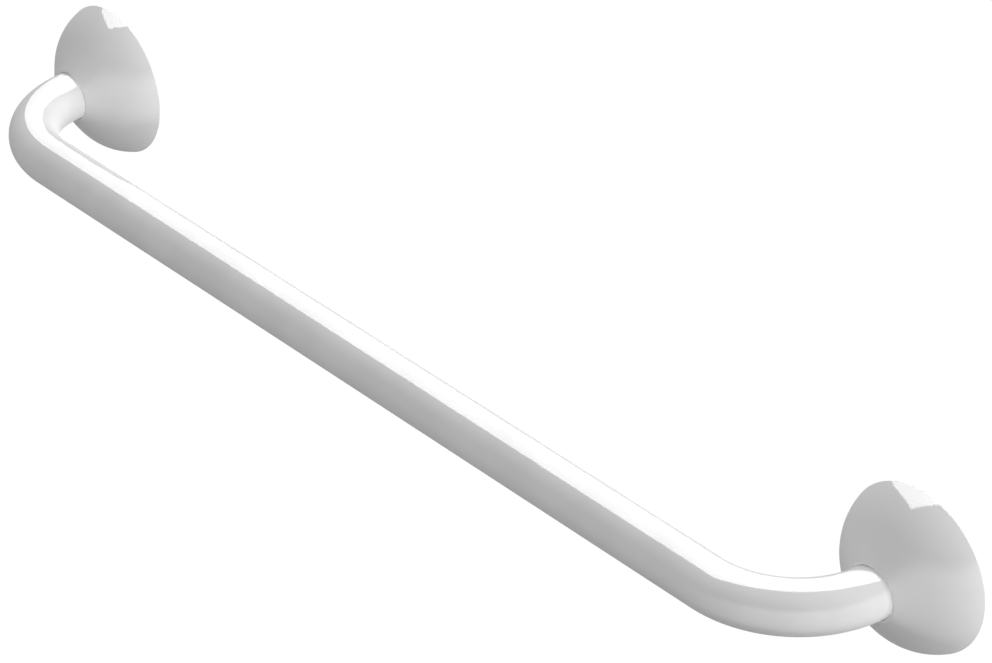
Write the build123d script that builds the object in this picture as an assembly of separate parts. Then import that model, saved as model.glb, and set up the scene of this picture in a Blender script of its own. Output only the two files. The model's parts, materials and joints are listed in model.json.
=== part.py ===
from build123d import *
import os
from math import atan2, cos, hypot, tan

# A wall-mounted grab bar: one round tube with a bend at each end, a cast flange with a socket
# behind each end, a screw that locks the tube in each socket, and a moulded bell cover that
# slips over each flange and, for fitting, back round the bend along the tube.
# Millimetres. The wall is the plane Y = 0 and the room lies at -Y. The bar runs along X and
# +Z is up. The origin is on the wall, midway between the two ends.

# Tube
tube_diameter = 25.0
tube_wall = 1.5
tube_end_chamfer = 0.4
leg_spacing = 575.0
bend_radius = 50.0

# Socket hub of the flange, standing out from the wall
hub_height = 20.0
hub_wall = 3.6
socket_clearance = 0.15
socket_floor = 3.0
stop_lip = 2.4
socket_chamfer = 0.6
hub_chamfer = 0.8
hub_fillet = 1.5

# Plate of the flange and its three countersunk holes
plate_thickness = 4.5
plate_round = 1.0
plate_edge = 2.0
wall_screw_count = 3
wall_screw_hole = 5.5
wall_screw_head = 10.0
head_to_hub = 1.75

# Gussets between hub and plate, one each side of the inner screw hole
gusset_angles = (60.0, -60.0)
gusset_thickness = 3.0
gusset_drop = 5.0

# Locking screw and its boss, on the outer side of the hub
boss_diameter = 12.0
boss_stand = 3.75
boss_chamfer = 0.6
thread_diameter = 6.0
thread_clearance = 0.05
lock_screw_recess = 0.6
lock_screw_chamfer = 0.5
hex_key = 3.0
hex_depth = 3.5
point_diameter = 4.0
point_grip = 1.1
point_clearance = 0.2
point_shoulder_gap = 0.25
point_chamfer = 0.4

# Bell cover
cover_overhang = 10.0
cover_wall = 2.2
shoulder_height = 12.0
shoulder_inset = 4.0
lip_run = 1.7
rim_round = 0.4
collar_height = 6.0
collar_wall = 1.4
hub_to_collar = 2.0
neck_clearance = 0.42
neck_lip = 1.0
neck_round_share = 0.2
rib_thickness = 2.0
rib_lift = 1.0
rib_height = 10.0
rib_clearance = 0.3
rib_lead = 1.2
rib_directions = (90.0, 180.0, 270.0)

# Sizes that follow
tube_radius = tube_diameter / 2
tube_bore_radius = tube_radius - tube_wall
socket_radius = tube_radius + socket_clearance
hub_radius = socket_radius + hub_wall
head_radius = wall_screw_head / 2
hole_radius = wall_screw_hole / 2
screw_circle_radius = hub_radius + head_to_hub + head_radius
plate_radius = screw_circle_radius + head_radius + plate_edge
bend_start = hub_height + hub_to_collar + collar_height / 2
bar_projection = bend_start + bend_radius
cover_height = bend_start + collar_height / 2
cover_radius = plate_radius + cover_overhang
neck_bore_radius = tube_radius + neck_clearance
neck_radius = neck_bore_radius + neck_lip
lock_height = (socket_floor + hub_height) / 2
boss_face = hub_radius + boss_stand
point_length = point_grip + socket_clearance + point_shoulder_gap
lock_screw_tip = tube_radius - point_grip
lock_screw_end = boss_face - lock_screw_recess

BASE = (Align.CENTER, Align.CENTER, Align.MIN)


def nearest_corner(sketch, radius, height):
    """The corner of a half section in the XZ plane that lies at a radius and a height."""
    return sketch.vertices().sort_by_distance((radius, 0, height))[0]


def half_section(corners):
    """A face in the XZ plane from (radius, height) corners, ready to be turned about Z."""
    return Plane.XZ * make_face(Polyline(*corners, close=True))


def disc_bar(radius, start, end, height):
    """A round bar along the outward direction, -X, from start to end, at a height off the wall."""
    bar = Cylinder(radius, end - start, align=BASE)
    return Location((-start, 0, height), (0, -90, 0)) * bar


def bell(inset):
    """The bell as a full body, with its drafted lip, shoulder and cone moved in by an inset."""
    shoulder_radius = cover_radius - shoulder_inset
    draft = atan2(shoulder_inset, shoulder_height)
    cone = atan2(shoulder_radius - neck_radius, cover_height - shoulder_height)
    lip_tangent = hypot(shoulder_inset, shoulder_height) - lip_run
    rounding = lip_tangent / tan((cone - draft) / 2)
    foot = cover_radius - inset / cos(draft)
    neck = neck_radius - inset / cos(cone)
    corner_height = (neck + cover_height * tan(cone) - foot) / (tan(cone) - tan(draft))
    corner_radius = foot - corner_height * tan(draft)
    section = half_section(
        [
            (0, 0),
            (foot, 0),
            (corner_radius, corner_height),
            (neck, cover_height),
            (0, cover_height),
        ]
    )
    section = fillet(nearest_corner(section, corner_radius, corner_height), rounding - inset)
    return revolve(section, Axis.Z)


def bell_cover():
    """The moulded cover: a bell shell, a collar round the tube and ribs that lead it over the plate."""
    outside = bell(0)
    shell = outside - bell(cover_wall)
    collar = Cylinder(neck_bore_radius + collar_wall, collar_height, align=BASE)
    shell += Pos(0, 0, cover_height - collar_height) * collar & outside
    rib_edge = plate_radius + rib_clearance
    rib_side = half_section(
        [
            (rib_edge + rib_lead, rib_lift),
            (cover_radius, rib_lift),
            (cover_radius, rib_height),
            (rib_edge, rib_height),
            (rib_edge, rib_lift + rib_lead),
        ]
    )
    rib = extrude(rib_side, rib_thickness / 2, both=True)
    for direction in rib_directions:
        shell += (Rot(0, 0, direction) * rib) & outside
    shell -= Cylinder(neck_bore_radius, cover_height, align=BASE)
    neck_edges = shell.edges().filter_by_position(Axis.Z, cover_height, cover_height)
    shell = fillet(neck_edges, neck_lip * neck_round_share)
    rim_edge = shell.edges().filter_by_position(Axis.Z, 0, 0).sort_by(SortBy.RADIUS)[-1]
    return fillet(rim_edge, rim_round)


def flange_turning():
    """Plate and hub turned as one, with the socket for the tube and the lip that the tube stops on."""
    bore_radius = socket_radius - stop_lip
    section = half_section(
        [
            (bore_radius, 0),
            (plate_radius, 0),
            (plate_radius, plate_thickness),
            (hub_radius, plate_thickness),
            (hub_radius, hub_height),
            (socket_radius, hub_height),
            (socket_radius, socket_floor),
            (bore_radius, socket_floor),
        ]
    )
    section = fillet(nearest_corner(section, plate_radius, plate_thickness), plate_round)
    section = fillet(nearest_corner(section, hub_radius, plate_thickness), hub_fillet)
    section = chamfer(nearest_corner(section, hub_radius, hub_height), hub_chamfer)
    section = chamfer(nearest_corner(section, socket_radius, hub_height), socket_chamfer)
    return revolve(section, Axis.Z)


def gusset(direction):
    """A sloping web from the hub down to the plate, in one direction from the socket's axis."""
    outer = plate_radius - plate_edge
    top = hub_height - gusset_drop
    web = half_section([(0, 0), (outer, 0), (outer, plate_thickness), (hub_radius, top), (0, top)])
    return Rot(0, 0, direction) * extrude(web, gusset_thickness / 2, both=True)


def wall_flange():
    """The cast flange. Its inner screw hole points along +X and its locking screw along -X."""
    boss = disc_bar(boss_diameter / 2, 0, boss_face, lock_height)
    flange = chamfer(boss.edges().sort_by(Axis.X)[0], boss_chamfer)
    for direction in gusset_angles:
        flange += gusset(direction)
    flange -= Cylinder(socket_radius, cover_height, align=BASE)
    flange += flange_turning()
    sink_depth = head_radius - hole_radius
    shank = Cylinder(hole_radius, plate_thickness, align=BASE)
    sink = Pos(0, 0, plate_thickness - sink_depth) * Cone(hole_radius, head_radius, sink_depth, align=BASE)
    driver_room = Pos(0, 0, plate_thickness) * Cylinder(head_radius, hub_height, align=BASE)
    for place in PolarLocations(screw_circle_radius, wall_screw_count):
        flange -= place * (shank + sink + driver_room)
    return flange - disc_bar(thread_diameter / 2 + thread_clearance, 0, boss_face, lock_height)


def lock_screw():
    """The headless screw with a hexagon socket, its plain point in the hole in the tube."""
    shoulder = lock_screw_tip + point_length
    shank = disc_bar(thread_diameter / 2, shoulder, lock_screw_end, lock_height)
    shank = chamfer(shank.edges().filter_by(GeomType.CIRCLE), lock_screw_chamfer)
    point = disc_bar(point_diameter / 2, lock_screw_tip, shoulder, lock_height)
    point = chamfer(point.edges().sort_by(Axis.X)[-1], point_chamfer)
    hexagon = extrude(RegularPolygon(hex_key / 2, 6, major_radius=False), hex_depth)
    return shank + point - Location((-lock_screw_end, 0, lock_height), (0, 90, 0)) * hexagon


def bar_tube():
    """The bent tube, from stop lip to stop lip, with a hole for each locking screw's point."""
    reach = leg_spacing / 2
    route = FilletPolyline(
        (-reach, -socket_floor),
        (-reach, -bar_projection),
        (reach, -bar_projection),
        (reach, -socket_floor),
        radius=bend_radius,
    )
    ring = Circle(tube_radius) - Circle(tube_bore_radius)
    tube = sweep(Plane(origin=(-reach, -socket_floor, 0), z_dir=(0, -1, 0)) * ring, path=route)
    end_edges = tube.edges().filter_by_position(Axis.Y, -socket_floor, -socket_floor)
    tube = chamfer(end_edges, tube_end_chamfer)
    hole = disc_bar(point_diameter / 2 + point_clearance, 0, tube_diameter, lock_height)
    for end in wall_ends.values():
        tube -= end * hole
    return tube


# Each end's own frame: +X towards the middle of the bar, +Z out of the wall
wall_ends = {
    "left": Plane(origin=(-leg_spacing / 2, 0, 0), x_dir=(1, 0, 0), z_dir=(0, -1, 0)),
    "right": Plane(origin=(leg_spacing / 2, 0, 0), x_dir=(-1, 0, 0), z_dir=(0, -1, 0)),
}

pieces = {"bar_tube": bar_tube()}
for side, end in wall_ends.items():
    pieces[side + "_wall_flange"] = end * wall_flange()
    pieces[side + "_lock_screw"] = end * lock_screw()
    pieces[side + "_bell_cover"] = end * bell_cover()

os.makedirs("parts", exist_ok=True)
for name, piece in pieces.items():
    export_step(piece, "parts/" + name + ".step")
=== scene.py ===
"""Dresses the grab bar and sets it in a plain white studio.

Everything is in metres in the part's own frame: the wall is the plane y = 0, the room lies at -Y, the bar
runs along X and +Z is up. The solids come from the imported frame. The tube and the lock screws are modelled
again here, with finer faces and a real thread, and every surface gets a finish made of shader nodes.
"""

import json
import logging
import math
from abc import ABC, abstractmethod
from dataclasses import dataclass
from enum import Enum
from typing import Any, ClassVar, Iterable, TypeAlias

import bmesh
import bpy
from mathutils import Matrix, Vector


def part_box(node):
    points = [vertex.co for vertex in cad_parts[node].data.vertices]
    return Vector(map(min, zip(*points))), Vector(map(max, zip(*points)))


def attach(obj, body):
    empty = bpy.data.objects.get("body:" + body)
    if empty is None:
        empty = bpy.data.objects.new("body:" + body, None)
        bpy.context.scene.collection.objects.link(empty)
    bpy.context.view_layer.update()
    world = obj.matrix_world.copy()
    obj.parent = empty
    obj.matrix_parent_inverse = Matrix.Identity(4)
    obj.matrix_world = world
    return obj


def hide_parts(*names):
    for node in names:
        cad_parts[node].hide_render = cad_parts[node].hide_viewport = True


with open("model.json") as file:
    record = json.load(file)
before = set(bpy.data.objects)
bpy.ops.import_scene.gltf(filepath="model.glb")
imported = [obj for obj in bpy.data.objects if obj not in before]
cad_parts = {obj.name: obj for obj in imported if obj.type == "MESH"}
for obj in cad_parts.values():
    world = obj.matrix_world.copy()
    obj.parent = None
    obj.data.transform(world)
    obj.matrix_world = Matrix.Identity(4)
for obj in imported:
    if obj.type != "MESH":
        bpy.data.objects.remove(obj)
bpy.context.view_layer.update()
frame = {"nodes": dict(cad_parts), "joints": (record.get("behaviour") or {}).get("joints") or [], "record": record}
log = logging.getLogger("grab_bar")

MM = 0.001
SHARP_EDGE = math.radians(32)
WELD = 0.01 * MM
MATRIX_SIZE = 4
MIX_COLOUR_A = 6
MIX_COLOUR_B = 7
MIX_COLOUR_RESULT = 2

Colour: TypeAlias = tuple[float, float, float, float]
Range: TypeAlias = tuple[float, float]
Feed: TypeAlias = "Wire | Colour | float"


class Side(Enum):
    """The two ends of the bar, with the sign of x on which each lies."""

    LEFT = -1
    RIGHT = 1

    def node(self, piece: str) -> str:
        """Names one of this end's solids in the frame."""
        return f"{self.name.lower()}_{piece}"


class Body(Enum):
    """The bodies that the pieces of this scene move with."""

    BAR = "bar"


class Slot(Enum):
    """The record's material slots."""

    COATED_TUBE = "coated_tube"
    MOULDED_COVER = "moulded_cover"
    CAST_FLANGE = "cast_flange"
    SCREW_STEEL = "screw_steel"


# Shader maths

@dataclass(frozen=True)
class Wire:
    """One output of a shader node, which Python sums and products can use."""

    graph: "Graph"
    socket: bpy.types.NodeSocket

    def __add__(self, other: Feed) -> "Wire":
        """Adds a value or another wire."""
        return self.graph.maths("ADD", self, other)

    def __radd__(self, other: Feed) -> "Wire":
        """Adds this wire to a value."""
        return self.graph.maths("ADD", other, self)

    def __sub__(self, other: Feed) -> "Wire":
        """Takes a value or another wire away."""
        return self.graph.maths("SUBTRACT", self, other)

    def __rsub__(self, other: Feed) -> "Wire":
        """Takes this wire away from a value."""
        return self.graph.maths("SUBTRACT", other, self)

    def __mul__(self, other: Feed) -> "Wire":
        """Multiplies by a value or another wire."""
        return self.graph.maths("MULTIPLY", self, other)

    def __rmul__(self, other: Feed) -> "Wire":
        """Multiplies a value by this wire."""
        return self.graph.maths("MULTIPLY", other, self)

    def __truediv__(self, other: Feed) -> "Wire":
        """Divides by a value or another wire."""
        return self.graph.maths("DIVIDE", self, other)

    def __rtruediv__(self, other: Feed) -> "Wire":
        """Divides a value by this wire."""
        return self.graph.maths("DIVIDE", other, self)

    def __abs__(self) -> "Wire":
        """Drops the sign."""
        return self.graph.maths("ABSOLUTE", self)


@dataclass(frozen=True)
class Outlets:
    """The outputs of one shader node."""

    graph: "Graph"
    made: bpy.types.Node

    def __getitem__(self, name: str | int) -> Wire:
        """Gives the output with that name or number."""
        return Wire(self.graph, self.made.outputs[name])


class Graph:
    """The node tree of one material or of the world."""

    def __init__(self, tree: bpy.types.NodeTree) -> None:
        """Empties the tree, so that it holds only what a finish asks for."""
        self.tree = tree
        tree.nodes.clear()

    def node(
        self,
        kind: str,
        settings: dict[str, Any] | None = None,
        inputs: dict[str | int, Feed] | None = None,
    ) -> Outlets:
        """Adds one node.

        Args:
            kind: the node's type, without the word ShaderNode in front.
            settings: what is set on the node itself, before its sockets.
            inputs: a value or a wire for each named or numbered input.

        Returns:
            The node's outputs.
        """
        made = self.tree.nodes.new("ShaderNode" + kind)
        for name, value in (settings or {}).items():
            setattr(made, name, value)
        for name, feed in (inputs or {}).items():
            if isinstance(feed, Wire):
                self.tree.links.new(feed.socket, made.inputs[name])
            else:
                made.inputs[name].default_value = feed
        return Outlets(self, made)

    def maths(self, operation: str, first: Feed, second: Feed = 0.0) -> Wire:
        """Adds one Math node and gives its result. Some operations have no second value."""
        return self.node("Math", {"operation": operation}, {0: first, 1: second})[0]

    def length(self, first: Wire, second: Wire) -> Wire:
        """Gives the length of the line whose two parts are at right angles."""
        return self.maths("SQRT", first * first + second * second)

    def step(self, value: Wire, low: float, high: float) -> Wire:
        """Goes smoothly from 0 to 1.

        Args:
            value: what is looked at.
            low: where the result is still 0. It may be the larger one.
            high: where the result has reached 1.

        Returns:
            The result, from 0 to 1.
        """
        if low > high:
            return 1.0 - self.step(value, high, low)
        feeds = {"Value": value, "From Min": low, "From Max": high}
        return self.node("MapRange", {"interpolation_type": "SMOOTHSTEP"}, feeds)["Result"]

    def blend(self, share: Wire, first: Feed, second: Feed) -> Wire:
        """Mixes two colours, with a share of the second one that goes from 0 to 1."""
        feeds = {"Factor": share, MIX_COLOUR_A: first, MIX_COLOUR_B: second}
        return self.node("Mix", {"data_type": "RGBA"}, feeds)[MIX_COLOUR_RESULT]

    def between(self, share: Wire, first: Feed, second: Feed) -> Wire:
        """Gives the value that lies that share of the way from the first to the second."""
        return share * (second - first) + first

    def place(self) -> Wire:
        """Gives the point of the surface, in the part's frame."""
        return self.node("TexCoord")["Object"]

    def outward(self) -> Wire:
        """Gives the direction that the surface faces, in the part's frame."""
        return self.node("TexCoord")["Normal"]

    def parts(self, vector: Wire) -> tuple[Wire, Wire, Wire]:
        """Takes a vector apart into x, y and z."""
        split = self.node("SeparateXYZ", inputs={"Vector": vector})
        return split["X"], split["Y"], split["Z"]

    def joined(self, x: Feed, y: Feed, z: Feed) -> Wire:
        """Puts a vector together from x, y and z."""
        return self.node("CombineXYZ", inputs={"X": x, "Y": y, "Z": z})["Vector"]

    def mottle(self, place: Wire, grain: float, detail: float = 2.0) -> Wire:
        """Gives a soft random value near a half, in patches of a grain's size with finer layers of detail."""
        feeds = {"Vector": place, "Scale": 1.0 / grain, "Detail": detail}
        return self.node("TexNoise", inputs=feeds)["Fac"]

    def bump(self, height: Wire, depth: float, under: Wire | None = None) -> Wire:
        """Turns a height into a change of normal.

        Args:
            height: the height, from 0 to 1.
            depth: the real depth of a height of 1.
            under: the normal that this one is laid over, if there is one.

        Returns:
            The new normal.
        """
        feeds = {"Height": height, "Distance": depth, "Strength": 1.0}
        if under is not None:
            feeds["Normal"] = under
        return self.node("Bump", inputs=feeds)["Normal"]

    def surface(self, inputs: dict[str | int, Feed]) -> None:
        """Ends a material in one Principled shader with these inputs."""
        shader = self.node("BsdfPrincipled", inputs=inputs)["BSDF"]
        self.node("OutputMaterial", inputs={"Surface": shader})

    def seen_rays(self) -> Wire:
        """Finds the rays that see a surface itself.

        Returns:
            1 for camera, mirror and glass rays and 0 for the rest.
        """
        path = self.node("LightPath")
        straight = self.maths("MAXIMUM", path["Is Camera Ray"], path["Is Glossy Ray"])
        return self.maths("MAXIMUM", straight, path["Is Transmission Ray"])


# Finishes

def grey(value: float) -> Colour:
    """Gives an even grey."""
    return (value, value, value, 1.0)


class Finish(ABC):
    """How one material looks."""

    name: ClassVar[str]

    @abstractmethod
    def shade(self, graph: Graph) -> None:
        """Fills the material's node tree."""

    def material(self) -> bpy.types.Material:
        """Makes the material.

        Returns:
            The new material.
        """
        made = bpy.data.materials.new(self.name)
        made.use_nodes = True
        self.shade(Graph(made.node_tree))
        return made


@dataclass(frozen=True)
class CoatedSteel(Finish):
    """Glossy white coating on steel tube, with bare scaled steel in the bore."""

    name: ClassVar[str] = "glossy_white_coating"
    bend_x: float
    bend_y: float
    bend_radius: float
    tube_radius: float
    tube_wall: float
    end_y: float
    thin_coat: Colour = grey(0.81)
    full_coat: Colour = grey(0.85)
    coat_size: float = 26 * MM
    coat_range: Range = (0.3, 0.7)
    mirror_share: float = 0.06
    gloss: Range = (0.05, 0.09)
    gloss_size: float = 6 * MM
    bare_steel: Colour = (0.24, 0.235, 0.23, 1.0)
    bare_mirror_share: float = 0.25
    bare_roughness: float = 0.62
    bore_edge: float = 0.375 * MM
    overspray: float = 12 * MM
    spray_fade: float = 6 * MM
    speckle_size: float = 1.2 * MM
    peel_size: float = 1.8 * MM
    peel_detail: float = 1.0
    peel_depth: float = 0.002 * MM
    wave_size: float = 14 * MM
    wave_detail: float = 0.0
    wave_depth: float = 0.012 * MM

    def off_centreline(self, graph: Graph, place: Wire) -> Wire:
        """Measures how far a point lies from the middle line of the bent tube.

        Args:
            graph: the tree that is being filled.
            place: the point.

        Returns:
            The distance: the tube's radius on the outside, less in the bore.
        """
        x, y, z = graph.parts(place)
        along = graph.maths("MAXIMUM", abs(x) - self.bend_x, 0.0)
        out = graph.maths("MAXIMUM", self.bend_y - y, 0.0)
        return graph.length(graph.length(along, out) - self.bend_radius, z)

    def bare(self, graph: Graph, place: Wire) -> Wire:
        """Finds where the steel is bare: in the bore, beyond the speckled overspray at each end.

        Args:
            graph: the tree that is being filled.
            place: the point.

        Returns:
            1 where the steel is bare and 0 where it is coated.
        """
        wall_middle = self.tube_radius - self.tube_wall / 2
        off = self.off_centreline(graph, place)
        in_bore = graph.step(off, wall_middle, wall_middle - self.bore_edge)
        _, y, _ = graph.parts(place)
        reach = y + graph.mottle(place, self.speckle_size) * self.overspray
        return in_bore * graph.step(reach, self.end_y, self.end_y - self.spray_fade)

    def shade(self, graph: Graph) -> None:
        """Fills the material's node tree.

        Args:
            graph: the tree that is being filled.
        """
        place = graph.place()
        bare = self.bare(graph, place)
        thickness = graph.step(graph.mottle(place, self.coat_size), *self.coat_range)
        coat = graph.blend(thickness, self.thin_coat, self.full_coat)
        gloss = graph.between(graph.mottle(place, self.gloss_size), *self.gloss)
        peel = graph.bump(graph.mottle(place, self.peel_size, self.peel_detail), self.peel_depth)
        wave = graph.mottle(place, self.wave_size, self.wave_detail)
        graph.surface({
            "Base Color": graph.blend(bare, coat, self.bare_steel),
            "Metallic": graph.between(bare, self.mirror_share, self.bare_mirror_share),
            "Specular IOR Level": 0.0,
            "Roughness": graph.between(bare, gloss, self.bare_roughness),
            "Normal": graph.bump(wave, self.wave_depth, peel),
        })


@dataclass(frozen=True)
class MouldedPlastic(Finish):
    """Polished white plastic, with the duller face of the mould's core inside."""

    name: ClassVar[str] = "moulded_white_plastic"
    leg_x: float
    near_gate: Colour = grey(0.79)
    far_edge: Colour = grey(0.81)
    gate_range: Range = (14 * MM, 40 * MM)
    mirror_share: float = 0.06
    gloss: Range = (0.05, 0.09)
    core_face: Colour = grey(0.72)
    core_roughness: float = 0.55
    core_facing: Range = (0.1, -0.1)
    flow_size: float = 5 * MM
    flow_detail: float = 0.0
    flow_depth: float = 0.002 * MM
    flow_radius: float = 30 * MM
    flow_stretch: float = 4.0
    spark_size: float = 0.35 * MM
    spark_depth: float = 0.012 * MM

    def shade(self, graph: Graph) -> None:
        """Fills the material's node tree.

        Args:
            graph: the tree that is being filled.
        """
        place = graph.place()
        x, y, z = graph.parts(place)
        across = abs(x) - self.leg_x
        radius = graph.length(across, z)
        nx, ny, nz = graph.parts(graph.outward())
        facing = (nx * graph.maths("SIGN", x) * across + nz * z) / graph.maths("MAXIMUM", radius, MM) - ny
        inside = graph.step(facing, *self.core_facing)
        turn = graph.maths("ARCTAN2", z, across) * self.flow_radius
        streak = graph.joined(turn, radius / self.flow_stretch, y / self.flow_stretch)
        flow = graph.mottle(streak, self.flow_size, self.flow_detail)
        colour = graph.blend(graph.step(radius, *self.gate_range), self.near_gate, self.far_edge)
        sparks = graph.mottle(place, self.spark_size) * inside
        graph.surface({
            "Base Color": graph.blend(inside, colour, self.core_face),
            "Roughness": graph.between(inside, graph.between(flow, *self.gloss), self.core_roughness),
            "Metallic": self.mirror_share,
            "Specular IOR Level": 0.0,
            "Normal": graph.bump(sparks, self.spark_depth, graph.bump(flow, self.flow_depth)),
        })


@dataclass(frozen=True)
class CastAluminium(Finish):
    """Tumbled cast aluminium, turned bright in the socket, the screw seats and on the back."""

    name: ClassVar[str] = "cast_aluminium"
    leg_x: float
    socket_radius: float
    seat_circle: float
    seat_radius: float = 5 * MM
    seat_count: int = 3
    edge_share: float = 0.02
    back_range: Range = (-0.3 * MM, -0.15 * MM)
    skin: Colour = (0.235, 0.238, 0.244, 1.0)
    rubbed_skin: Colour = (0.37, 0.373, 0.38, 1.0)
    rub_size: float = 9 * MM
    rub_range: Range = (0.35, 0.65)
    pits: Colour = (0.18, 0.182, 0.186, 1.0)
    pit_range: Range = (0.44, 0.34)
    skin_roughness: Range = (0.36, 0.58)
    grain_size: float = 0.7 * MM
    grain_detail: float = 4.0
    grain_depth: float = 0.05 * MM
    cut: Colour = (0.55, 0.553, 0.56, 1.0)
    cut_line: Colour = (0.38, 0.382, 0.388, 1.0)
    cut_roughness: float = 0.24
    tool_flank: float = 0.175 * MM
    tool_depth: float = 0.006 * MM
    tool_drift: float = 1.5 * MM

    def off_seat(self, graph: Graph, inward: Wire, z: Wire) -> Wire:
        """Measures how far a point lies from the axis of the nearest screw seat.

        Args:
            graph: the tree that is being filled.
            inward: how far the point lies from the leg's axis towards the middle of the bar.
            z: its height above the leg's axis.

        Returns:
            The distance.
        """
        sector = math.tau / self.seat_count
        turn = graph.maths("ARCTAN2", z, inward)
        swing = turn - graph.maths("ROUND", turn / sector) * sector
        radius = graph.length(inward, z)
        ahead = radius * graph.maths("COSINE", swing) - self.seat_circle
        return graph.length(ahead, radius * graph.maths("SINE", swing))

    def tool_rings(self, graph: Graph, radius: Wire) -> Wire:
        """Gives the rings that a turning tool leaves, from 0 to 1."""
        return graph.maths("PINGPONG", radius / self.tool_flank, 1.0)

    def within(self, graph: Graph, distance: Wire, radius: float) -> Wire:
        """Gives 1 inside a radius and 0 outside, with a narrow soft edge."""
        return graph.step(distance, radius * (1 + self.edge_share), radius)

    def shade(self, graph: Graph) -> None:
        """Fills the material's node tree.

        Args:
            graph: the tree that is being filled.
        """
        place = graph.place()
        x, y, z = graph.parts(place)
        inward = self.leg_x - abs(x)
        radius = graph.length(inward, z)
        seat = self.off_seat(graph, inward, z)
        in_seat = self.within(graph, seat, self.seat_radius)
        on_back = graph.step(y, *self.back_range)
        turned = graph.maths("MAXIMUM", self.within(graph, radius, self.socket_radius), on_back)
        machined = graph.maths("MAXIMUM", turned, in_seat)
        grain = graph.mottle(place, self.grain_size, self.grain_detail)
        rub = graph.step(graph.mottle(place, self.rub_size), *self.rub_range)
        skin = graph.blend(rub, self.skin, self.rubbed_skin)
        cast = graph.blend(graph.step(grain, *self.pit_range), skin, self.pits)
        rings = self.tool_rings(graph, graph.between(in_seat, radius, seat))
        bright = graph.blend(rings * graph.mottle(place, self.tool_drift), self.cut, self.cut_line)
        cast_bump = graph.bump(grain * (1.0 - machined), self.grain_depth)
        roughness = graph.between(grain, *self.skin_roughness)
        graph.surface({
            "Base Color": graph.blend(machined, cast, bright),
            "Metallic": 1.0,
            "Roughness": graph.between(machined, roughness, self.cut_roughness),
            "Normal": graph.bump(rings * machined, self.tool_depth, cast_bump),
        })


@dataclass(frozen=True)
class TurnedSteel(Finish):
    """Stainless steel, turned and rolled, with a little oil haze."""

    name: ClassVar[str] = "turned_stainless_steel"
    axis_y: float
    steel: Colour = (0.40, 0.40, 0.395, 1.0)
    haze: Colour = (0.26, 0.255, 0.245, 1.0)
    haze_size: float = 1.4 * MM
    haze_range: Range = (0.40, 0.70)
    roughness: Range = (0.22, 0.34)
    tool_pitch: float = 0.12 * MM
    tool_depth: float = 0.003 * MM

    def shade(self, graph: Graph) -> None:
        """Fills the material's node tree.

        Args:
            graph: the tree that is being filled.
        """
        place = graph.place()
        _, y, z = graph.parts(place)
        radius = graph.length(y - self.axis_y, z)
        rings = graph.maths("SINE", radius * (math.tau / self.tool_pitch))
        film = graph.step(graph.mottle(place, self.haze_size), *self.haze_range)
        graph.surface({
            "Base Color": graph.blend(film, self.steel, self.haze),
            "Metallic": 1.0,
            "Roughness": graph.between(film, *self.roughness),
            "Normal": graph.bump(rings, self.tool_depth),
        })


@dataclass(frozen=True)
class StudioFloor(Finish):
    """A pale floor that is seen as white and still takes a shadow."""

    name: ClassVar[str] = "studio_floor"
    paint: Colour = grey(0.40)
    lift: float = 0.85
    glow: float = 1.14

    def shade(self, graph: Graph) -> None:
        """Fills the material's node tree.

        Args:
            graph: the tree that is being filled.
        """
        paint = graph.node("BsdfDiffuse", inputs={"Color": self.paint})["BSDF"]
        white = graph.node("Emission", inputs={"Color": grey(1.0), "Strength": self.glow})["Emission"]
        share = graph.seen_rays() * self.lift
        mixed = graph.node("MixShader", inputs={0: share, 1: paint, 2: white})["Shader"]
        graph.node("OutputMaterial", inputs={"Surface": mixed})


@dataclass(frozen=True)
class LowGlow(Finish):
    """A clear screen that glows low down, most on one side of the room."""

    name: ClassVar[str] = "low_glow"
    azimuth: float = 75.0
    level: float = 1.85
    fan: Range = (-0.75, 0.8)
    top: float = 0.32
    softness: float = 0.25
    foot: Range = (-2.6, -0.5)

    def shade(self, graph: Graph) -> None:
        """Fills the material's node tree.

        Args:
            graph: the tree that is being filled.
        """
        x, y, z = graph.parts(graph.place())
        across = graph.length(x, y)
        turn = math.radians(self.azimuth)
        fan = graph.step((x * math.sin(turn) - y * math.cos(turn)) / across, *self.fan)
        height = z / across
        low = graph.step(height - fan * self.top, self.softness, -self.softness)
        colour = graph.blend(fan * low * graph.step(height, *self.foot), grey(0.0), grey(1.0))
        glow = graph.node("Emission", inputs={"Color": colour, "Strength": self.level})["Emission"]
        clear = graph.node("BsdfTransparent", inputs={"Color": grey(1.0)})["BSDF"]
        both = graph.node("AddShader", inputs={0: glow, 1: clear})["Shader"]
        graph.node("OutputMaterial", inputs={"Surface": both})

    def material(self) -> bpy.types.Material:
        """Makes the material, which is seen in gloss and lights nothing.

        Returns:
            The new material.
        """
        made = super().material()
        made.cycles.emission_sampling = "NONE"
        return made


# Meshes

def add_piece(bm: bmesh.types.BMesh, name: str, material: bpy.types.Material) -> bpy.types.Object:
    """Makes an object of a finished bmesh, smooth apart from its sharp edges.

    Args:
        bm: the shape, which is freed.
        name: the object's name.
        material: its only material.

    Returns:
        The new object, at the origin.
    """
    mesh = bpy.data.meshes.new(name)
    bm.to_mesh(mesh)
    bm.free()
    mesh.materials.append(material)
    mesh.shade_smooth()
    mesh.set_sharp_from_angle(angle=SHARP_EDGE)
    piece = bpy.data.objects.new(name, mesh)
    bpy.context.scene.collection.objects.link(piece)
    return piece


def dress_node(name: str, material: bpy.types.Material) -> None:
    """Gives one solid of the frame its finish.

    Args:
        name: the solid's node in the frame.
        material: the finish.
    """
    for slot in frame["nodes"][name].material_slots:
        slot.material = material
    log.info("%s: %s", name, material.name)


def spun(angle: float, axis: str) -> Matrix:
    """Gives a turn about one of the frame's axes."""
    return Matrix.Rotation(angle, MATRIX_SIZE, axis)


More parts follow.
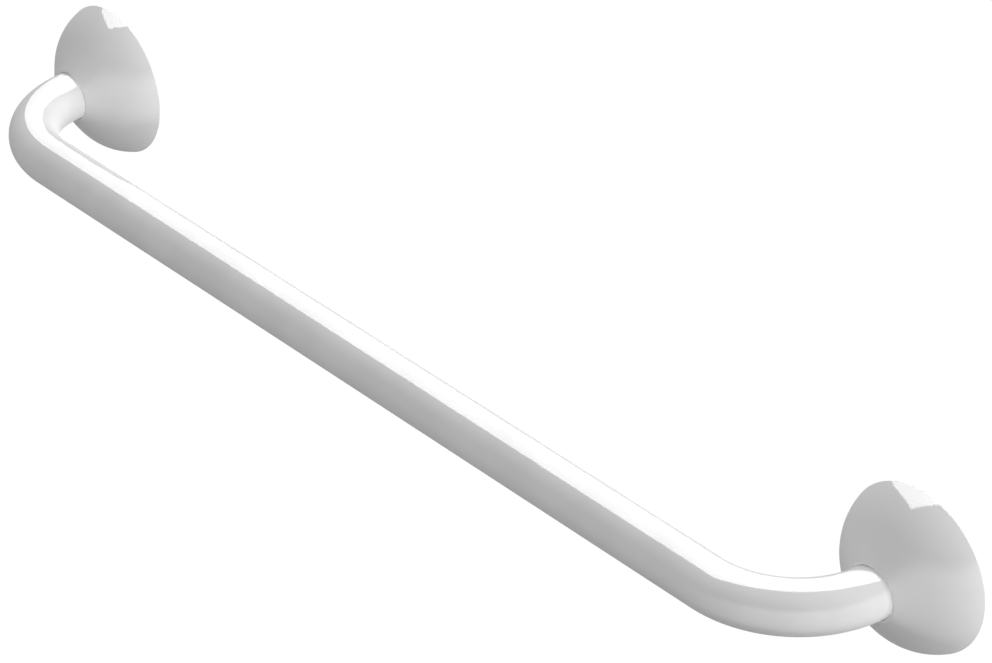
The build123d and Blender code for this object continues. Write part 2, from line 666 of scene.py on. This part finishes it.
def ring_points(edges: Iterable[bmesh.types.BMEdge]) -> list[bmesh.types.BMVert]:
    """Lists the points that these edges join, in order."""
    return list(dict.fromkeys(vert for edge in edges for vert in edge.verts))


def ring_edges(verts: Iterable[bmesh.types.BMVert]) -> list[bmesh.types.BMEdge]:
    """Lists the edges that join these points, in order.

    Args:
        verts: the points.

    Returns:
        The edges.
    """
    points = dict.fromkeys(verts)
    edges = dict.fromkeys(edge for vert in points for edge in vert.link_edges)
    return [edge for edge in edges if all(vert in points for vert in edge.verts)]


def push(
    bm: bmesh.types.BMesh, edges: list[bmesh.types.BMEdge], way: Vector, steps: int = 1
) -> list[bmesh.types.BMEdge]:
    """Draws a ring of edges out in a straight line.

    Args:
        bm: the shape that the ring is part of.
        edges: the ring.
        way: how far it goes in all.
        steps: how many rows of faces are made.

    Returns:
        The ring at the far end.
    """
    for _ in range(steps):
        drawn = bmesh.ops.extrude_edge_only(bm, edges=edges)["geom"]
        verts = [part for part in drawn if isinstance(part, bmesh.types.BMVert)]
        bmesh.ops.translate(bm, verts=verts, vec=way / steps)
        edges = ring_edges(verts)
    return edges


# Sub-assemblies

@dataclass
class LockScrew:
    """The headless screw that locks the tube in one socket, with its thread, point and hexagon socket."""

    side: Side
    tip_x: float
    axis_y: float
    radius: float
    length: float
    pitch: float = 1.0 * MM
    thread_depth: float = 0.61 * MM
    end_chamfer: float = 0.5 * MM
    point_radius: float = 2.0 * MM
    point_length: float = 1.5 * MM
    point_chamfer: float = 0.4 * MM
    hole_clearance: float = 0.2 * MM
    hex_key: float = 3.0 * MM
    hex_depth: float = 3.5 * MM
    drill_point: float = 0.5 * MM
    hex_flats: int = 6
    around: int = 48

    thread_outline: ClassVar[tuple[Range, ...]] = (
        (0.0, 0.0), (0.0, 0.125), (1.0, 0.4375), (1.0, 0.5625), (0.0, 0.875), (0.0, 1.0),
    )

    @classmethod
    def from_frame(cls, side: Side) -> "LockScrew":
        """Reads the screw's place and size from its solid.

        Args:
            side: the end that the screw is at.

        Returns:
            The screw.
        """
        low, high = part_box(side.node("lock_screw"))
        tip_x = min(low.x, high.x, key=abs)
        return cls(side, tip_x, (low.y + high.y) / 2, high.z, high.x - low.x)

    def wind_thread(self, bm: bmesh.types.BMesh) -> None:
        """Winds one pitch of the thread's outline up the shank and cuts both ends square.

        Args:
            bm: the shape that is being made, with the tip at the origin and the drive end up.
        """
        root = self.radius - self.thread_depth
        foot = self.point_length - self.pitch
        verts = [
            bm.verts.new((root + height * self.thread_depth, 0, foot + share * self.pitch))
            for height, share in self.thread_outline
        ]
        edges = [bm.edges.new(pair) for pair in zip(verts, verts[1:])]
        turns = math.ceil((self.length - foot) / self.pitch)
        bmesh.ops.spin(
            bm, geom=verts + edges, cent=(0, 0, 0), axis=(0, 0, 1), dvec=(0, 0, self.pitch / self.around),
            angle=turns * math.tau, steps=turns * self.around,
        )
        bmesh.ops.remove_doubles(bm, verts=bm.verts[:], dist=self.pitch / self.around)
        for height, way in ((self.point_length, 1), (self.length, -1)):
            geom = bm.verts[:] + bm.edges[:] + bm.faces[:]
            bmesh.ops.bisect_plane(
                bm, geom=geom, plane_co=(0, 0, height), plane_no=(0, 0, way), clear_inner=True
            )
        bmesh.ops.remove_doubles(bm, verts=bm.verts[:], dist=WELD)

    def taper_ends(self, bm: bmesh.types.BMesh) -> None:
        """Runs the thread out in a cone at both ends of the shank.

        Args:
            bm: the threaded shank.
        """
        for vert in bm.verts:
            from_end = min(vert.co.z - self.point_length, self.length - vert.co.z)
            limit = self.radius - self.end_chamfer + max(from_end, 0.0)
            across = vert.co.xy.length
            if across > limit:
                vert.co.xy = vert.co.xy * (limit / across)

    def draw_in(
        self, bm: bmesh.types.BMesh, height: float, flat_radius: float, flats: int
    ) -> list[bmesh.types.BMEdge]:
        """Closes one end of the shank with a flat face that leaves a regular opening round the axis.

        Args:
            bm: the threaded shank, open at that end.
            height: where the end lies.
            flat_radius: how far the opening's flat sides lie from the axis.
            flats: how many flat sides the opening has.

        Returns:
            The opening's rim, from which the next form is drawn.
        """
        rim = [
            edge for edge in bm.edges
            if edge.is_boundary and abs(edge.verts[0].co.z - height) < self.pitch / 2
        ]
        ring = push(bm, rim, Vector())
        sector = math.tau / flats
        for vert in ring_points(ring):
            turn = math.atan2(vert.co.x, vert.co.y) % sector - sector / 2
            vert.co.xy = vert.co.xy.normalized() * (flat_radius / math.cos(turn))
        return ring

    def add_socket(self, bm: bmesh.types.BMesh) -> None:
        """Sinks the hexagon socket into the drive end, with the drill's cone at its foot.

        Args:
            bm: the threaded shank.
        """
        ring = self.draw_in(bm, self.length, self.hex_key / 2, self.hex_flats)
        foot = push(bm, ring, Vector((0, 0, -self.hex_depth)))
        floor = bmesh.ops.contextual_create(bm, geom=foot)["faces"]
        centre = bmesh.ops.poke(bm, faces=floor)["verts"]
        bmesh.ops.translate(bm, verts=centre, vec=(0, 0, -self.drill_point))

    def add_point(self, bm: bmesh.types.BMesh) -> None:
        """Draws the plain point out of the other end and breaks its edge.

        Args:
            bm: the threaded shank.
        """
        ring = self.draw_in(bm, self.point_length, self.point_radius, self.around)
        ring = push(bm, ring, Vector((0, 0, self.point_chamfer - self.point_length)))
        ring = push(bm, ring, Vector((0, 0, -self.point_chamfer)))
        share = 1 - self.point_chamfer / self.point_radius
        bmesh.ops.scale(bm, vec=(share, share, 1), verts=ring_points(ring))
        bmesh.ops.contextual_create(bm, geom=ring)

    def build(self, material: bpy.types.Material) -> None:
        """Models the screw in place of its solid.

        Args:
            material: the screw's finish.
        """
        bm = bmesh.new()
        self.wind_thread(bm)
        self.taper_ends(bm)
        self.add_socket(bm)
        self.add_point(bm)
        outward = spun(self.side.value * math.pi / 2, "Y")
        place = Matrix.Translation((self.tip_x, self.axis_y, 0)) @ outward
        bmesh.ops.transform(bm, matrix=place, verts=bm.verts[:])
        bmesh.ops.recalc_face_normals(bm, faces=bm.faces[:])
        node = self.side.node("lock_screw")
        screw = add_piece(bm, f"{node}_threaded", material)
        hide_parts(node)
        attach(screw, Body.BAR.value)
        log.info("%s: %d faces", screw.name, len(screw.data.polygons))


@dataclass
class Rail:
    """The coated tube: a leg from each wall flange, a bend and the straight bar between them."""

    radius: float
    leg_x: float
    end_y: float
    bend_x: float
    bend_y: float
    wall: float = 1.5 * MM
    rim_chamfer: float = 0.4 * MM
    socket_clearance: float = 0.15 * MM
    patch_share: float = 1.3
    wall_reach: float = 0.375 * MM
    around: int = 96
    leg_rows: int = 8
    bend_rows: int = 40
    bar_rows: int = 48

    node: ClassVar[str] = "bar_tube"

    @classmethod
    def from_frame(cls) -> "Rail":
        """Reads the tube's sizes from its solid and the covers' joints.

        Returns:
            The tube.
        """
        _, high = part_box(cls.node)
        radius = high.z
        bend_x, bend_y, _ = max(joint["pos_m"] for joint in frame["joints"])
        return cls(radius, high.x - radius, high.y, bend_x, bend_y)

    @property
    def bend_radius(self) -> float:
        """Gives the radius of the bends' middle line."""
        return self.leg_x - self.bend_x

    @property
    def rim_y(self) -> float:
        """Gives the place along a leg where the chamfers of its end start."""
        return self.end_y - self.rim_chamfer

    def draw_wall(self, bm: bmesh.types.BMesh, radius: float) -> None:
        """Draws one wall of the tube along its route.

        Args:
            bm: the shape that is being made.
            radius: the wall's radius.
        """
        start = Matrix.Translation((-self.leg_x, self.rim_y, 0)) @ spun(math.pi / 2, "X")
        circle = bmesh.ops.create_circle(bm, segments=self.around, radius=radius, matrix=start)
        leg = Vector((0, self.bend_y - self.rim_y, 0))
        bar = Vector((2 * self.bend_x, 0, 0))
        edges = push(bm, ring_edges(circle["verts"]), leg, self.leg_rows)
        edges = self.bend(bm, edges, -self.bend_x)
        edges = push(bm, edges, bar, self.bar_rows)
        edges = self.bend(bm, edges, self.bend_x)
        push(bm, edges, -leg, self.leg_rows)

    def bend(
        self, bm: bmesh.types.BMesh, edges: list[bmesh.types.BMEdge], centre_x: float
    ) -> list[bmesh.types.BMEdge]:
        """Turns a ring of edges a quarter turn round a bend.

        Args:
            bm: the shape that the ring is part of.
            edges: the ring.
            centre_x: where the bend's centre lies along the bar.

        Returns:
            The ring at the far end.
        """
        turned = bmesh.ops.spin(
            bm, geom=ring_points(edges) + edges, cent=(centre_x, self.bend_y, 0), axis=(0, 0, 1),
            angle=math.pi / 2, steps=self.bend_rows,
        )
        return [part for part in turned["geom_last"] if isinstance(part, bmesh.types.BMEdge)]

    def close_end(self, bm: bmesh.types.BMesh, side: Side) -> None:
        """Draws the chamfered end face from the outer wall to the inner one and welds it there.

        Args:
            bm: the two walls.
            side: which end is closed.
        """
        axis = Vector((side.value * self.leg_x, self.rim_y, 0))
        ring = [
            edge for edge in bm.edges
            if edge.is_boundary and edge.verts[0].co.x * side.value > 0
            and (edge.verts[0].co - axis).length > self.radius - self.rim_chamfer
        ]
        bore = self.radius - self.wall
        chamfer = Vector((0, self.rim_chamfer, 0))
        steps = [
            (self.radius, self.radius - self.rim_chamfer, chamfer),
            (self.radius - self.rim_chamfer, bore + self.rim_chamfer, Vector()),
            (bore + self.rim_chamfer, bore, -chamfer),
        ]
        for wide, narrow, way in steps:
            ring = push(bm, ring, way)
            share = narrow / wide
            bmesh.ops.scale(
                bm, vec=(share, 1, share), space=Matrix.Translation(-axis), verts=ring_points(ring)
            )
        bmesh.ops.remove_doubles(bm, verts=bm.verts[:], dist=WELD)

    def hole_patch(self, bm: bmesh.types.BMesh, screw: LockScrew, radius: float) -> list[bmesh.types.BMFace]:
        """Finds the faces of one wall that the hole for a lock screw's point takes the place of.

        Args:
            bm: the two walls.
            screw: the lock screw.
            radius: the wall's radius.

        Returns:
            The faces.
        """
        reach = self.patch_share * (screw.point_radius + screw.hole_clearance)
        axis = Vector((screw.side.value * self.leg_x, screw.axis_y, 0))
        patch = []
        for face in bm.faces:
            off = face.calc_center_median() - axis
            on_wall = abs(off.xz.length - radius) < self.wall_reach
            if on_wall and off.x * screw.side.value > 0 and max(abs(off.y), abs(off.z)) < reach:
                patch.append(face)
        return patch

    def drill(self, bm: bmesh.types.BMesh, screw: LockScrew) -> None:
        """Opens the hole for a lock screw's point in the outer side of its leg.

        Args:
            bm: the two walls.
            screw: the lock screw.
        """
        hole_radius = screw.point_radius + screw.hole_clearance
        across = Matrix.Translation((0, screw.axis_y, 0)) @ spun(math.pi / 2, "Y")
        rings = []
        for radius in (self.radius, self.radius - self.wall):
            patch = self.hole_patch(bm, screw, radius)
            inside = set(patch)
            border = [edge for face in patch for edge in face.edges if not inside.issuperset(edge.link_faces)]
            bmesh.ops.delete(bm, geom=patch, context="FACES")
            circle = bmesh.ops.create_circle(bm, segments=len(border), radius=hole_radius, matrix=across)
            for vert in circle["verts"]:
                vert.co.x = screw.side.value * (self.leg_x + math.sqrt(radius ** 2 - vert.co.z ** 2))
            ring = ring_edges(circle["verts"])
            bmesh.ops.bridge_loops(bm, edges=border + ring)
            rings += ring
        bmesh.ops.bridge_loops(bm, edges=rings)

    def build(self, material: bpy.types.Material, screws: Iterable[LockScrew]) -> bpy.types.Object:
        """Models the tube in place of its solid.

        Args:
            material: the tube's finish.
            screws: the lock screws, whose points go into holes in the legs.

        Returns:
            The tube.
        """
        bm = bmesh.new()
        self.draw_wall(bm, self.radius)
        self.draw_wall(bm, self.radius - self.wall)
        for side in Side:
            self.close_end(bm, side)
        for screw in screws:
            self.drill(bm, screw)
        bmesh.ops.recalc_face_normals(bm, faces=bm.faces[:])
        tube = add_piece(bm, "coated_bar", material)
        tube.visible_glossy = False
        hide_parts(self.node)
        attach(tube, Body.BAR.value)
        log.info("%s: %d faces", tube.name, len(tube.data.polygons))
        return tube

    def dress(self) -> bpy.types.Material:
        """Makes the tube's finish."""
        route = (self.bend_x, self.bend_y, self.bend_radius)
        return CoatedSteel(*route, self.radius, self.wall, self.end_y).material()


@dataclass
class WallEnd:
    """What holds the tube at one end: the bell cover, the cast flange and the lock screw."""

    side: Side
    screw: LockScrew

    seat_mount: ClassVar[str] = "inner_wall_holes"

    @classmethod
    def from_frame(cls, side: Side) -> "WallEnd":
        """Reads one end from the frame."""
        return cls(side, LockScrew.from_frame(side))

    @property
    def cover(self) -> bpy.types.Object:
        """Gives the end's bell cover."""
        return frame["nodes"][self.side.node("bell_cover")]

    @classmethod
    def dress(cls, rail: Rail, screw: LockScrew) -> dict[Slot, bpy.types.Material]:
        """Makes the finishes that both ends share.

        Args:
            rail: the tube, whose leg the cover and the flange go round.
            screw: the lock screw of either end.

        Returns:
            The finish for each of the ends' material slots.
        """
        mount = next(mount for mount in frame["record"]["mounts"] if mount["name"] == cls.seat_mount)
        seat_circle = rail.leg_x - mount["dims"]["spacing_x_mm"] * MM / 2
        socket_radius = rail.radius + rail.socket_clearance
        return {
            Slot.MOULDED_COVER: MouldedPlastic(rail.leg_x).material(),
            Slot.CAST_FLANGE: CastAluminium(rail.leg_x, socket_radius, seat_circle).material(),
            Slot.SCREW_STEEL: TurnedSteel(screw.axis_y).material(),
        }

    def build(self, finishes: dict[Slot, bpy.types.Material]) -> None:
        """Dresses the cover and the flange and models the lock screw.

        Args:
            finishes: the finish for each of the end's material slots.
        """
        dress_node(self.side.node("bell_cover"), finishes[Slot.MOULDED_COVER])
        dress_node(self.side.node("wall_flange"), finishes[Slot.CAST_FLANGE])
        self.screw.build(finishes[Slot.SCREW_STEEL])


# Studio

@dataclass(frozen=True)
class Station:
    """A place that looks at the part from a distance."""

    azimuth: float
    elevation: float
    distance: float
    target: tuple[float, float, float] = (0.0, 0.0, 0.0)
    roll: float = 0.0
    slide: tuple[float, float] = (0.0, 0.0)

    def matrix(self) -> Matrix:
        """Places a camera or lamp that stands here and looks at its target.

        Returns:
            Its place and turn.
        """
        turn = spun(math.radians(self.azimuth), "Z")
        tip = spun(math.pi / 2 - math.radians(self.elevation), "X")
        twist = spun(math.radians(self.roll), "Z")
        back = Matrix.Translation((*self.slide, self.distance))
        return Matrix.Translation(self.target) @ turn @ tip @ twist @ back


@dataclass(frozen=True)
class Lamp:
    """A large soft lamp. It either shows in the gloss of a surface or lights its colour."""

    name: str
    station: Station
    size: tuple[float, float]
    level: float
    shows_in_gloss: bool = False
    casts_shadow: bool = True

    def power(self) -> float:
        """Works out the lamp's power from its own brightness or from what a white surface gets.

        Returns:
            The power in watts.
        """
        if self.shows_in_gloss:
            return self.level * math.pi * self.size[0] * self.size[1]
        return self.level * (math.pi * self.station.distance) ** 2

    def hang(self) -> None:
        """Puts the lamp in the scene."""
        lamp = bpy.data.lights.new(self.name, "AREA")
        lamp.shape = "RECTANGLE"
        lamp.size, lamp.size_y = self.size
        lamp.energy = self.power()
        lamp.use_shadow = self.casts_shadow
        hung = bpy.data.objects.new(self.name, lamp)
        hung.matrix_world = self.station.matrix()
        hung.visible_camera = False
        hung.visible_glossy = self.shows_in_gloss
        hung.visible_diffuse = not self.shows_in_gloss
        bpy.context.scene.collection.objects.link(hung)


@dataclass
class Studio:
    """The floor, the light and the camera round the part."""

    camera_station: Station = Station(
        azimuth=49.0676, elevation=32.1721, distance=1.7519, target=(0.07268, -0.05009, 0.03699)
    )
    lens_mm: float = 141.98
    sensor_mm: float = 36.0
    view_reach: float = 56.0
    lamps: tuple[Lamp, ...] = (
        Lamp(
            "gloss_panel",
            Station(azimuth=-120.0, elevation=59.0, distance=9.0, roll=-12.66, slide=(-2.93, -9.76)),
            size=(13.96, 27.27), level=7.4, shows_in_gloss=True,
        ),
        Lamp(
            "right", Station(azimuth=105.0, elevation=12.0, distance=5.0),
            size=(2.0, 2.0), level=0.27, casts_shadow=False,
        ),
        Lamp(
            "back_right", Station(azimuth=144.0, elevation=4.0, distance=5.0),
            size=(2.0, 2.0), level=0.35, casts_shadow=False,
        ),
        Lamp(
            "back_top", Station(azimuth=-168.0, elevation=55.0, distance=5.0),
            size=(2.0, 2.0), level=0.21,
        ),
    )
    ambient: float = 0.54
    floor_drop: float = 0.9
    floor_half: float = 14.0
    glow_radius: float = 13.0
    glow_height: float = 16.0
    glow_lift: float = 0.01
    glow_sides: int = 64

    def lay_floor(self) -> None:
        """Lays the floor at the height below the bar at which such a bar is fixed."""
        bm = bmesh.new()
        drop = Matrix.Translation((0, 0, -self.floor_drop))
        bmesh.ops.create_grid(bm, x_segments=1, y_segments=1, size=self.floor_half, matrix=drop)
        add_piece(bm, "studio_floor", StudioFloor().material())

    def hang_glow(self, pieces: Iterable[bpy.types.Object]) -> None:
        """Puts the glowing screen round the room, where only the gloss of some pieces shows it.

        Args:
            pieces: the pieces that show it.
        """
        bm = bmesh.new()
        foot = Matrix.Translation((0, 0, self.glow_lift - self.floor_drop))
        disc = bmesh.ops.create_circle(
            bm, cap_ends=True, segments=self.glow_sides, radius=self.glow_radius, matrix=foot
        )
        push(bm, ring_edges(disc["verts"]), Vector((0, 0, self.glow_height)))
        screen = add_piece(bm, "low_glow", LowGlow().material())
        screen.visible_camera = False
        screen.visible_diffuse = False
        screen.visible_transmission = False
        screen.visible_shadow = False
        shown_in = bpy.data.collections.new("shows_low_glow")
        for piece in pieces:
            shown_in.objects.link(piece)
        screen.light_linking.receiver_collection = shown_in

    def light(self) -> None:
        """Hangs the lamps and sets the even light of the room."""
        for lamp in self.lamps:
            lamp.hang()
        world = bpy.data.worlds.new("white_room")
        world.use_nodes = True
        graph = Graph(world.node_tree)
        colour = graph.blend(graph.seen_rays(), grey(self.ambient), grey(1.0))
        background = graph.node("Background", inputs={"Color": colour})["Background"]
        graph.node("OutputWorld", inputs={"Surface": background})
        bpy.context.scene.world = world

    def aim_camera(self) -> None:
        """Sets the camera at the photograph's place."""
        lens = bpy.data.cameras.new("camera")
        lens.sensor_fit = "HORIZONTAL"
        lens.sensor_width = self.sensor_mm
        lens.lens = self.lens_mm
        lens.clip_end = self.view_reach
        camera = bpy.data.objects.new("camera", lens)
        camera.matrix_world = self.camera_station.matrix()
        bpy.context.scene.collection.objects.link(camera)
        bpy.context.scene.camera = camera

    def build(self, white_pieces: Iterable[bpy.types.Object]) -> None:
        """Sets up the floor, the light and the camera.

        Args:
            white_pieces: the pieces whose gloss shows the low glow.
        """
        self.lay_floor()
        self.hang_glow(white_pieces)
        self.light()
        self.aim_camera()
        bpy.context.scene.view_settings.view_transform = "Standard"


def main() -> None:
    """Builds and dresses the sub-assemblies in order, then the studio."""
    logging.basicConfig(level=logging.INFO, format="%(message)s")
    ends = [WallEnd.from_frame(side) for side in Side]
    screws = [end.screw for end in ends]
    rail = Rail.from_frame()
    tube = rail.build(rail.dress(), screws)
    finishes = WallEnd.dress(rail, screws[0])
    for end in ends:
        end.build(finishes)
    Studio().build([tube, *(end.cover for end in ends)])


if __name__ == "__main__":
    main()
